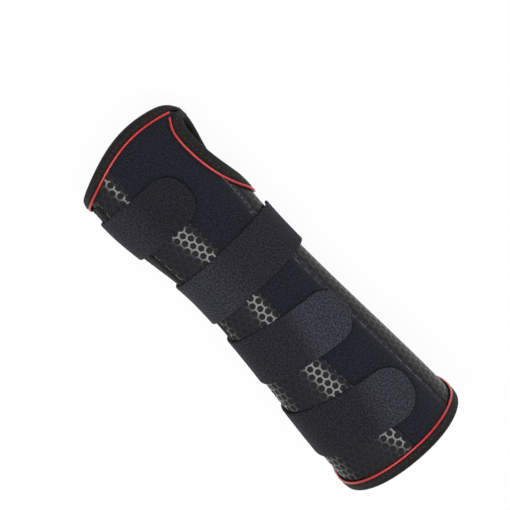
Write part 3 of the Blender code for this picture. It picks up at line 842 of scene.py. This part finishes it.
def tape_cloth():
    """Ribbed tape, brownish black, with its ribs across its length."""
    made = Surface("tape_cloth")
    place = made.uv()
    along = made.dot(place, (2 * math.pi / TAPE_RIB, 0.0, 0.0))
    wander = made.noise(place, 500.0)
    ribs = made.math("SINE", made.math("ADD", along, made.math("MULTIPLY", wander, 2.5)))
    rib = made.rise(ribs, -1.0, 1.0)
    yarn = made.blend(made.rise(wander, 0.35, 0.65), (0.006, 0.004, 0.003), (0.03, 0.021, 0.014))
    return made.set(
        Base_Color=made.blend(rib, (0.003, 0.002, 0.002), yarn),
        Roughness=0.7,
        Normal=made.bump(rib, 0.3 * MM),
        Sheen_Weight=0.04,
        Sheen_Roughness=0.5,
        Specular_IOR_Level=0.35,
    )


def red_piping():
    """Satin red cord with fine slanting threads."""
    made = Surface("red_piping")
    place = made.uv()
    turning = 2 * math.pi / PIPING_TWIST
    twist = made.math("SINE", made.dot(place, (turning, turning, 0.0)))
    strand = made.rise(twist, -1.0, 1.0)
    fade = made.noise(place, 300.0)
    satin = made.blend(fade, (0.62, 0.012, 0.014), (0.75, 0.022, 0.022))
    return made.set(
        Base_Color=made.blend(made.math("MULTIPLY", strand, 0.2), satin, (0.3, 0.01, 0.01)),
        Roughness=0.45,
        Normal=made.bump(strand, 0.06 * MM),
        Coat_Weight=1.0,
        Coat_Roughness=0.28,
        Coat_IOR=1.5,
    )


def lining_cloth():
    """Soft brushed lining."""
    made = Surface("lining_cloth")
    nap = made.noise(made.uv(), 900.0, detail=3.0, roughness=0.65)
    return made.set(
        Base_Color=made.blend(made.rise(nap, 0.3, 0.7), (0.014, 0.014, 0.016), (0.045, 0.045, 0.05)),
        Roughness=0.9,
        Normal=made.bump(nap, 0.4 * MM, 0.7),
        Sheen_Weight=0.2,
        Sheen_Roughness=0.6,
    )


def hook_plastic():
    """Rows of tiny moulded hooks on a dark base."""
    made = Surface("hook_plastic")
    side = made.honeycomb(HOOK_PITCH)
    hook = made.rise(side, 0.2, 0.35)
    scatter = made.noise(made.uv(), 700.0)
    moulded = made.blend(scatter, (0.02, 0.02, 0.022), (0.05, 0.05, 0.055))
    return made.set(
        Base_Color=made.blend(hook, (0.006, 0.006, 0.007), moulded),
        Roughness=made.rise(hook, 0.0, 1.0, 0.7, 0.4),
        Normal=made.bump(hook, 0.5 * MM),
    )


def thread(name, dark, light, roughness, sheen):
    """Sewing thread, uneven with its ply."""
    made = Surface(name)
    ply = made.noise(made.object_place(), 1500.0)
    return made.set(
        Base_Color=made.blend(ply, dark, light),
        Roughness=roughness,
        Normal=made.bump(ply, 0.1 * MM),
        Sheen_Weight=sheen,
    )


def tape_thread():
    """Brownish black thread of the tapes and straps."""
    return thread("thread", (0.015, 0.012, 0.01), (0.045, 0.037, 0.032), 0.6, 0.2)


def seam_thread():
    """Grey thread of the seam at the thumb."""
    return thread("seam_thread", (0.07, 0.07, 0.075), (0.16, 0.16, 0.17), 0.5, 0.0)


def aluminium():
    """Bare metal, brushed along the arm."""
    made = Surface("aluminium")
    brush = made.noise(made.object_place((900.0, 12.0, 900.0)), 1.0)
    return made.set(
        Base_Color=made.blend(brush, (0.6, 0.61, 0.62), (0.75, 0.76, 0.77)),
        Metallic=1.0,
        Roughness=made.rise(brush, 0.2, 0.8, 0.28, 0.45),
        Normal=made.bump(brush, 0.02 * MM),
    )


def stay_plastic():
    """Milky plastic strip with a faint grain."""
    made = Surface("stay_plastic")
    grain = made.noise(made.object_place(), 600.0)
    cloud = made.noise(made.object_place(), 30.0)
    return made.set(
        Base_Color=made.blend(cloud, (0.6, 0.6, 0.58), (0.72, 0.72, 0.7)),
        Roughness=made.rise(grain, 0.3, 0.7, 0.4, 0.5),
        Normal=made.bump(grain, 0.03 * MM),
    )


# Pieces

class Strap:
    """One strap, sewn round the little finger side, with a flap that ends in a hook patch."""

    def __init__(self, name, y, slant, hinge, tip, rounding):
        self.name = name + "_strap"
        self.y = y
        self.slant = slant
        self.hinge = hinge
        self.rounding = rounding
        self.girth = girth(y)
        self.length = (tip - hinge) * self.girth
        self.start = (STRAP_ANCHOR - hinge) * self.girth

    def spot(self, s, v):
        """(w, y) at s along the strap from its hinge and v across it."""
        lean = self.slant * ease(s / SLANT_START)
        return self.hinge + (s - lean * v) / self.girth, self.y + self.slant * np.maximum(s, 0) + v

    def level(self, s):
        """h of the underside, which is lifted over the hook patch."""
        clear = self.length - HOOK_INSET - HOOK_LENGTH - s
        lift = (HOOK + 2 * HOOK_GAP - STRAP_GAP) * ease(1 - clear / HOOK_RAMP)
        return SHELL + STRAP_GAP + lift

    def stations(self, start, end, rounding):
        """Places along and half widths lost to the rounding of the end."""
        straight = spread(start, end - rounding, CELL)
        turn = spread(0, math.pi / 2, STRAP_TIP_STEP)[1:]
        s = np.concatenate([straight, end - rounding + rounding * np.sin(turn)])
        loss = np.concatenate([0 * straight, rounding * (1 - np.cos(turn))])
        return s[:, None], loss[:, None]

    def band(self, surface):
        """Root and flap in one, with rounded edges."""
        s, loss = self.stations(self.start, self.length, self.rounding)
        flat = STRAP_WIDTH / 2 - loss - STRAP_EDGE
        top = np.linspace(-1, 1, STRAP_TOP_POINTS)
        under = np.linspace(1, -1, STRAP_UNDER_POINTS)
        turn = spread(0, math.pi, STRAP_RIM_STEP)[1:-1]
        edge = flat + STRAP_EDGE * np.sin(turn)
        v = np.concatenate([flat * top, edge, flat * under, -edge], axis=1)
        rim = STRAP / 2 * (1 + np.cos(turn))
        h = np.concatenate([np.full_like(top, STRAP), rim, np.zeros_like(under), STRAP - rim])
        w, y = self.spot(s, v)
        points = form(w, y, self.level(s) + h[None, :])
        uv = np.stack(np.broadcast_arrays(s, v), axis=-1)
        uv = np.concatenate([uv, uv[:, :1]], axis=1)
        return skin(self.name, surface, points, uv, ring_columns=True)

    def hook(self, surface):
        """The hook patch under the tip."""
        end = self.length - HOOK_INSET
        rounding = max(self.rounding - HOOK_INSET, HOOK_INSET)
        s, loss = self.stations(end - HOOK_LENGTH, end, rounding)
        v = (STRAP_WIDTH / 2 - HOOK_INSET - loss) * np.linspace(-1, 1, HOOK_POINTS)
        w, y = self.spot(s, v)
        points = form(w, y, SHELL + HOOK_GAP)
        uv = np.stack(np.broadcast_arrays(s, v), axis=-1)
        return thicken(skin(self.name + "_hook_patch", surface, points, uv), HOOK)

    def sewing(self, surface):
        """Two rows of stitches across the root and one along each side of it."""
        across = spread(-STRAP_WIDTH / 2 + SEWING_INSET, STRAP_WIDTH / 2 - SEWING_INSET, MM)
        first = self.start + SEWING_INSET
        last = first + SEWING_LENGTH
        rows = [(s + 0 * across, across) for s in (first, last)]
        sides = spread(first, last, MM)
        rows += [(sides, v + 0 * sides) for v in (across[0], across[-1])]
        made = []
        for number, (s, v) in enumerate(rows):
            w, y = self.spot(s, v)
            points = form(w, y, SHELL + STRAP_GAP + STRAP)
            made.append(stitches(f"{self.name}_sewing_{number}", surface, points, outward(w, y)))
        return made

    def turn(self):
        """Points just before and after the line where the flap turns."""
        s = np.array([-STRAP_TURN, STRAP_TURN])
        w, y = self.spot(s, 0 * s)
        return form(w, y, SHELL + STRAP_GAP + STRAP)


def hand_tape_width(w):
    """The tape is narrower on the bridge between the hand edge and the thumb hole."""
    return HAND_TAPE_WIDTH - HAND_TAPE_NARROWING * web(w)


def thumb_tape_width(angle):
    """The tape is narrower on the bridge between the thumb hole and the hand edge."""
    near = np.maximum(0, np.cos(angle - THUMB_BRIDGE_AT)) ** THUMB_BRIDGE_SHARPNESS
    return THUMB_TAPE_WIDTH - THUMB_TAPE_NARROWING * near


def at_hand(share, distance):
    """(w, y) at shares round the hand edge and distances in from it."""
    w, y = round_sleeve(hand_edge, share)
    return w, y - distance


def at_forearm(share, distance):
    """(w, y) at shares round the forearm edge and distances in from it."""
    w, y = round_sleeve(forearm_edge, 1 - share)
    return w, y + distance


def at_slit(side):
    """Gives a function for (w, y) at shares along one side of the opening and distances in from it."""
    low = forearm_edge(beside_slit(-FOREARM_LENGTH, 0)) + FOREARM_TAPE_WIDTH + SLIT_TAPE_END
    high = hand_edge(beside_slit(HAND_LENGTH, 0)) - HAND_TAPE_WIDTH - SLIT_TAPE_HAND_END

    def place(along, distance):
        y = low + (high - low) * along + 0 * distance
        return beside_slit(y, side * (SLIT_GAP / 2 + distance)), y

    return place


def on_body(piece, body, slot, *nodes):
    """The piece rides on a body and stands for its nodes, which are hidden. Its slot is not used."""
    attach(piece, body)
    if nodes:
        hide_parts(*nodes)


def sewn_sheet(piece, *carriers):
    """Reads the places of the piece's cloth map and does nothing more with them. Its carriers are not
    used.
    """
    places = np.empty(2 * len(piece.data.loops), np.float32)
    piece.data.uv_layers["cloth"].uv.foreach_get("vector", places)


def edge_tape(name, node, tape, sewing, place, rows, width, level=SHELL, ring=False):
    """A folded tape along an edge of the cloth up to a level, with its stitches."""
    top = level + TAPE_GAP
    band = folded_tape(name + "_tape", tape, place, rows, width, top, ring)
    on_body(band, "sleeve", "tape_cloth", node)
    w, y = place(rows, width - TAPE_STITCH_INSET)
    row = stitches(name + "_stitches", sewing, form(w, y, top + TAPE), outward(w, y))
    on_body(row, "sleeve", "tape_cloth")


def edge_piping(name, surface, w, y):
    """A cord of piping on the sleeve, beside an edge tape."""
    middle = form(w, y, SHELL + PIPING_OFFSET)
    cord = tube(name + "_edge_piping", surface, middle, outward(w, y), PIPING_RADIUS)
    on_body(cord, "sleeve", "red_piping", name + "_piping")


def hand_piping(share):
    """(w, y) of the piping at shares round the hand edge."""
    w, _ = round_sleeve(hand_edge, share)
    return at_hand(share, hand_tape_width(w) + PIPING_OFFSET)


def thumb_piping():
    """(w, y) of the piping round the thumb hole, with its straight lead."""
    angle = spread(THUMB_PIPING_START, THUMB_PIPING_END, THUMB_PIPING_STEP)
    lead = spread(-THUMB_PIPING_LEAD, 0, MM)[:-1]
    angle = np.concatenate([THUMB_PIPING_START + 0 * lead, angle])
    ahead = np.concatenate([lead, 0 * angle[len(lead):]])
    return beside_thumb(angle, thumb_tape_width(angle) + PIPING_OFFSET, ahead)


def pocket(surface):
    """The stay's pocket on the back: a flat tube with soft edges, open towards the elbow."""
    half = (POCKET_HIGH.x - POCKET_LOW.x) / 2
    cavity_half = (STAY_HIGH.x - STAY_LOW.x) / 2 + STAY_GAP
    cavity_end = STAY_HIGH.y + STAY_GAP
    turn = spread(0, math.pi / 2, POCKET_EDGE_STEP)

    def ring(half_width, low, high, corner):
        """A rectangle with rounded corners in x and z."""
        corners = []
        for k, (sx, sz) in enumerate(((1, 1), (1, -1), (-1, -1), (-1, 1))):
            angle = math.pi / 2 - turn - k * math.pi / 2
            x = sx * (half_width - corner) + corner * np.cos(angle)
            z = (high - corner if sz > 0 else low + corner) + corner * np.sin(angle)
            corners.append(np.stack([x, z], axis=-1))
        return np.concatenate(corners)

    rows = []
    ys = spread(POCKET_LOW.y, POCKET_HIGH.y, POCKET_CELL)
    corner_turn = spread(0, math.pi / 2, POCKET_CORNER_STEP)
    bends = POCKET_HIGH.y - POCKET_CORNER + POCKET_CORNER * np.sin(corner_turn)
    ys = np.concatenate([ys[ys < bends[0] - MM], bends])
    for y in ys[::-1]:
        past = max(0.0, y - bends[0])
        loss = POCKET_CORNER - math.sqrt(max(0.0, POCKET_CORNER**2 - past**2))
        rows.append((y, ring(half - loss, POCKET_LOW.z, POCKET_HIGH.z, POCKET_EDGE)))
    for y in spread(POCKET_LOW.y, cavity_end, POCKET_CELL):
        rows.append((y, ring(cavity_half, STAY_LOW.z - STAY_GAP, STAY_HIGH.z + STAY_GAP, STAY_GAP)))
    points = np.array([[(x, y, z) for x, z in loop] for y, loop in rows])
    uv = points[:, :, :2]
    uv = np.concatenate([uv, uv[:, :1]], axis=1)
    made = skin("back_pocket_cloth", surface, points, uv, ring_columns=True)
    on_body(made, "sleeve", "tape_cloth", "back_pocket")


def sleeve_cloths(lining, honeycomb, plush_pile):
    """The lining, which is returned, and the four outer panels, sewn tight to it."""
    left = slit_at_palm(SLIT_EDGE)
    right = slit_at_back(SLIT_EDGE)
    inside = panel("lining_cloth", lining, left, right, THUMB_SIDE, lining_level, LINING, holed=True)
    on_body(inside, "sleeve", "lining_cloth", "lining")
    palm_edge = slit_at_palm(SLIT_PANEL_EDGE)
    palm = panel("palm_cloth", honeycomb, palm_edge, shifted(palm_seam, -1), PALM_SIDE)
    on_body(palm, "sleeve", "honeycomb_cloth", "palm_panel")
    plush = panel("plush_cloth", plush_pile, shifted(palm_seam, 1), shifted(thumb_seam, -1), PALM_SIDE)
    on_body(plush, "sleeve", "plush_cloth", "plush_panel")
    thumb_edge = shifted(thumb_seam, 1)
    thumb = panel("thumb_cloth", honeycomb, thumb_edge, shifted(back_seam, -1), THUMB_SIDE, holed=True)
    on_body(thumb, "sleeve", "honeycomb_cloth", "thumb_panel")
    back_edge = slit_at_back(SLIT_PANEL_EDGE)
    back = panel("back_cloth", honeycomb, shifted(back_seam, 1), back_edge, BACK_SIDE)
    on_body(back, "sleeve", "honeycomb_cloth", "back_panel")
    for outer in (palm, plush, thumb, back):
        sewn_sheet(outer, inside)
    return inside


def thumb_seam_stitches(surface):
    """The stitches that show beside the seam at the thumb."""
    y = spread(SEAM_STITCH_START, SEAM_STITCH_END, MM)
    w = thumb_seam(y) + SEAM_STITCH_OFFSET / girth(y)
    row = stitches("thumb_seam_stitches", surface, form(w, y, SHELL - SEAM_DIP / 2), outward(w, y))
    on_body(row, "sleeve", "plush_cloth")


def edge_tapes(tape, sewing):
    """The tapes round the hand edge, the forearm edge and the thumb hole."""
    around = spread(0, 1, EDGE_STEP)
    w, _ = round_sleeve(hand_edge, around)
    edge_tape("hand_edge", "hand_tape", tape, sewing, at_hand, around, hand_tape_width(w))
    edge_tape("forearm_edge", "forearm_tape", tape, sewing, at_forearm, around, FOREARM_TAPE_WIDTH)
    turns = np.arange(THUMB_TAPE_STEPS) * 2 * math.pi / THUMB_TAPE_STEPS
    width = thumb_tape_width(turns)
    edge_tape("thumb_edge", "thumb_tape", tape, sewing, beside_thumb, turns, width, ring=True)


def edge_pipings(surface):
    """The piping beside the edge tapes, in two runs at the hand edge."""
    edge_piping("hand", surface, *hand_piping(spread(0, PALM_PIPING_END, EDGE_STEP)))
    edge_piping("back", surface, *hand_piping(spread(BACK_PIPING_START, BACK_PIPING_END, EDGE_STEP)))
    around = spread(0, 1, EDGE_STEP)
    edge_piping("forearm", surface, *at_forearm(around, FOREARM_TAPE_WIDTH + PIPING_OFFSET))
    edge_piping("thumb", surface, *thumb_piping())


def opening_tapes(tape, sewing):
    """The tapes along both sides of the opening, folded over the lining alone."""
    up = spread(0, 1, OPENING_STEP)
    for name, side, rows in (("palm", 1, up), ("back", -1, up[::-1])):
        node = name + "_slit_tape"
        edge_tape(name + "_opening", node, tape, sewing, at_slit(side), rows, SLIT_TAPE_WIDTH, LINING)


def gusset(surface, inside):
    """The cloth behind the opening, sewn to the lining."""
    across = spread(-1, 1, GUSSET_STEP)[:, None] * GUSSET_WIDTH / 2
    along = spread(-FOREARM_LENGTH + TAPE_INNER_LEG, HAND_LENGTH - TAPE_INNER_LEG, GUSSET_CELL)[None, :]
    depth = -2 * TAPE_GAP - TAPE - GUSSET
    points = form(beside_slit(along, across), along, depth)
    uv = np.stack(np.broadcast_arrays(across, along), axis=-1)
    made = thicken(skin("gusset_cloth", surface, points, uv), GUSSET)
    on_body(made, "sleeve", "lining_cloth", "gusset")
    sewn_sheet(made, inside)


def straps(hooks, sewing):
    """The four straps, with hook patches and stitches."""
    for name, values in STRAPS.items():
        strap = Strap(name, *values)
        band = strap.band(strap_loop(strap, *STRAP_SHADES[name]))
        start, end = strap.turn()
        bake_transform(band)
        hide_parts(strap.name + "_root", strap.name + "_flap")
        on_body(strap.hook(hooks), strap.name, "hook_plastic", strap.name + "_hook")
        for row in strap.sewing(sewing):
            on_body(row, "sleeve", "strap_loop")


def stays():
    """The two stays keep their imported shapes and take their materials."""
    for node, surface in (("palm_stay", aluminium()), ("back_stay", stay_plastic())):
        frame["nodes"][node].data.materials.clear()
        frame["nodes"][node].data.materials.append(surface)


def dress():
    """Every piece of the splint."""
    tape = tape_cloth()
    sewing = tape_thread()
    lining = lining_cloth()
    inside = sleeve_cloths(lining, honeycomb_cloth(), plush_cloth())
    thumb_seam_stitches(seam_thread())
    edge_tapes(tape, sewing)
    sewn_sheet(inside, "hand_edge_tape", "forearm_edge_tape", "thumb_edge_tape")
    edge_pipings(red_piping())
    opening_tapes(tape, sewing)
    gusset(lining, inside)
    pocket(tape)
    straps(hook_plastic(), sewing)
    stays()


# Studio

def facing(direction, distance, turn):
    """Where a camera or lamp looks at the splint from a direction, turned about its line of sight."""
    back = Vector(direction).normalized()
    along = (Vector((0, 1, 0)) - back * back.y).normalized()
    across = along.cross(back)
    turned = Matrix((across, along, back)).transposed() @ Matrix.Rotation(turn, 3, "Z")
    return Matrix.Translation(LOOK_POINT + back * distance) @ turned.to_4x4()


def camera():
    """The camera of the photograph, above the palm side and leaning towards the fingers."""
    data = bpy.data.cameras.new("camera")
    data.sensor_width = SENSOR
    data.lens = SENSOR * CAMERA_DISTANCE / (IMAGE_SIDE * SCALE)
    made = add_object("camera", data)
    direction = (0, math.sin(CAMERA_TILT), math.cos(CAMERA_TILT))
    made.matrix_world = facing(direction, CAMERA_DISTANCE, -CAMERA_TURN)
    bpy.context.scene.camera = made


def softbox(name, direction, distance, sides, radiance, turn):
    """A rectangular lamp that faces the splint, with its long side turned from the line of the arm."""
    data = bpy.data.lights.new(name, "AREA")
    data.shape = "RECTANGLE"
    data.size, data.size_y = sides
    data.energy = radiance * math.pi * sides[0] * sides[1]
    made = add_object(name, data)
    made.matrix_world = facing(direction, distance, turn)


def floor():
    """A white floor that glows where it is seen or mirrored, and keeps the shadow."""
    paint = Surface("floor")
    paint.set(Base_Color=FLOOR_COLOUR, Roughness=0.9)
    path = paint.tree.nodes.new("ShaderNodeLightPath")
    seen = path.outputs["Is Camera Ray"]
    for ray in ("Is Glossy Ray", "Is Transmission Ray"):
        seen = paint.math("MAXIMUM", seen, path.outputs[ray])
    share = paint.math("MULTIPLY", seen, FLOOR_GLOW_SHARE)
    glow = paint.add("Emission", None, FLOOR_GLOW)
    mix = paint.add("MixShader", share, paint.shader.outputs[0], glow)
    paint.put(paint.tree.nodes["Material Output"].inputs["Surface"], mix)
    side = FLOOR_HALF_SIDE
    corners = [(-side, -side, 0), (side, -side, 0), (side, side, 0), (-side, side, 0)]
    made = mesh_piece("floor", paint.material, corners, [(0, 1, 2, 3)])
    made.location.z = -FLOOR_DROP


def world():
    """Pale even surroundings."""
    made = bpy.data.worlds.new("studio")
    made.use_nodes = True
    background = made.node_tree.nodes["Background"]
    background.inputs["Color"].default_value = WORLD_COLOUR
    background.inputs["Strength"].default_value = WORLD_STRENGTH
    bpy.context.scene.world = made


def studio():
    """Camera, surroundings, floor and lamps."""
    camera()
    world()
    floor()
    for name, values in LAMPS.items():
        softbox(name, *values)
    bpy.context.scene.view_settings.view_transform = "Standard"


studio()
dress()
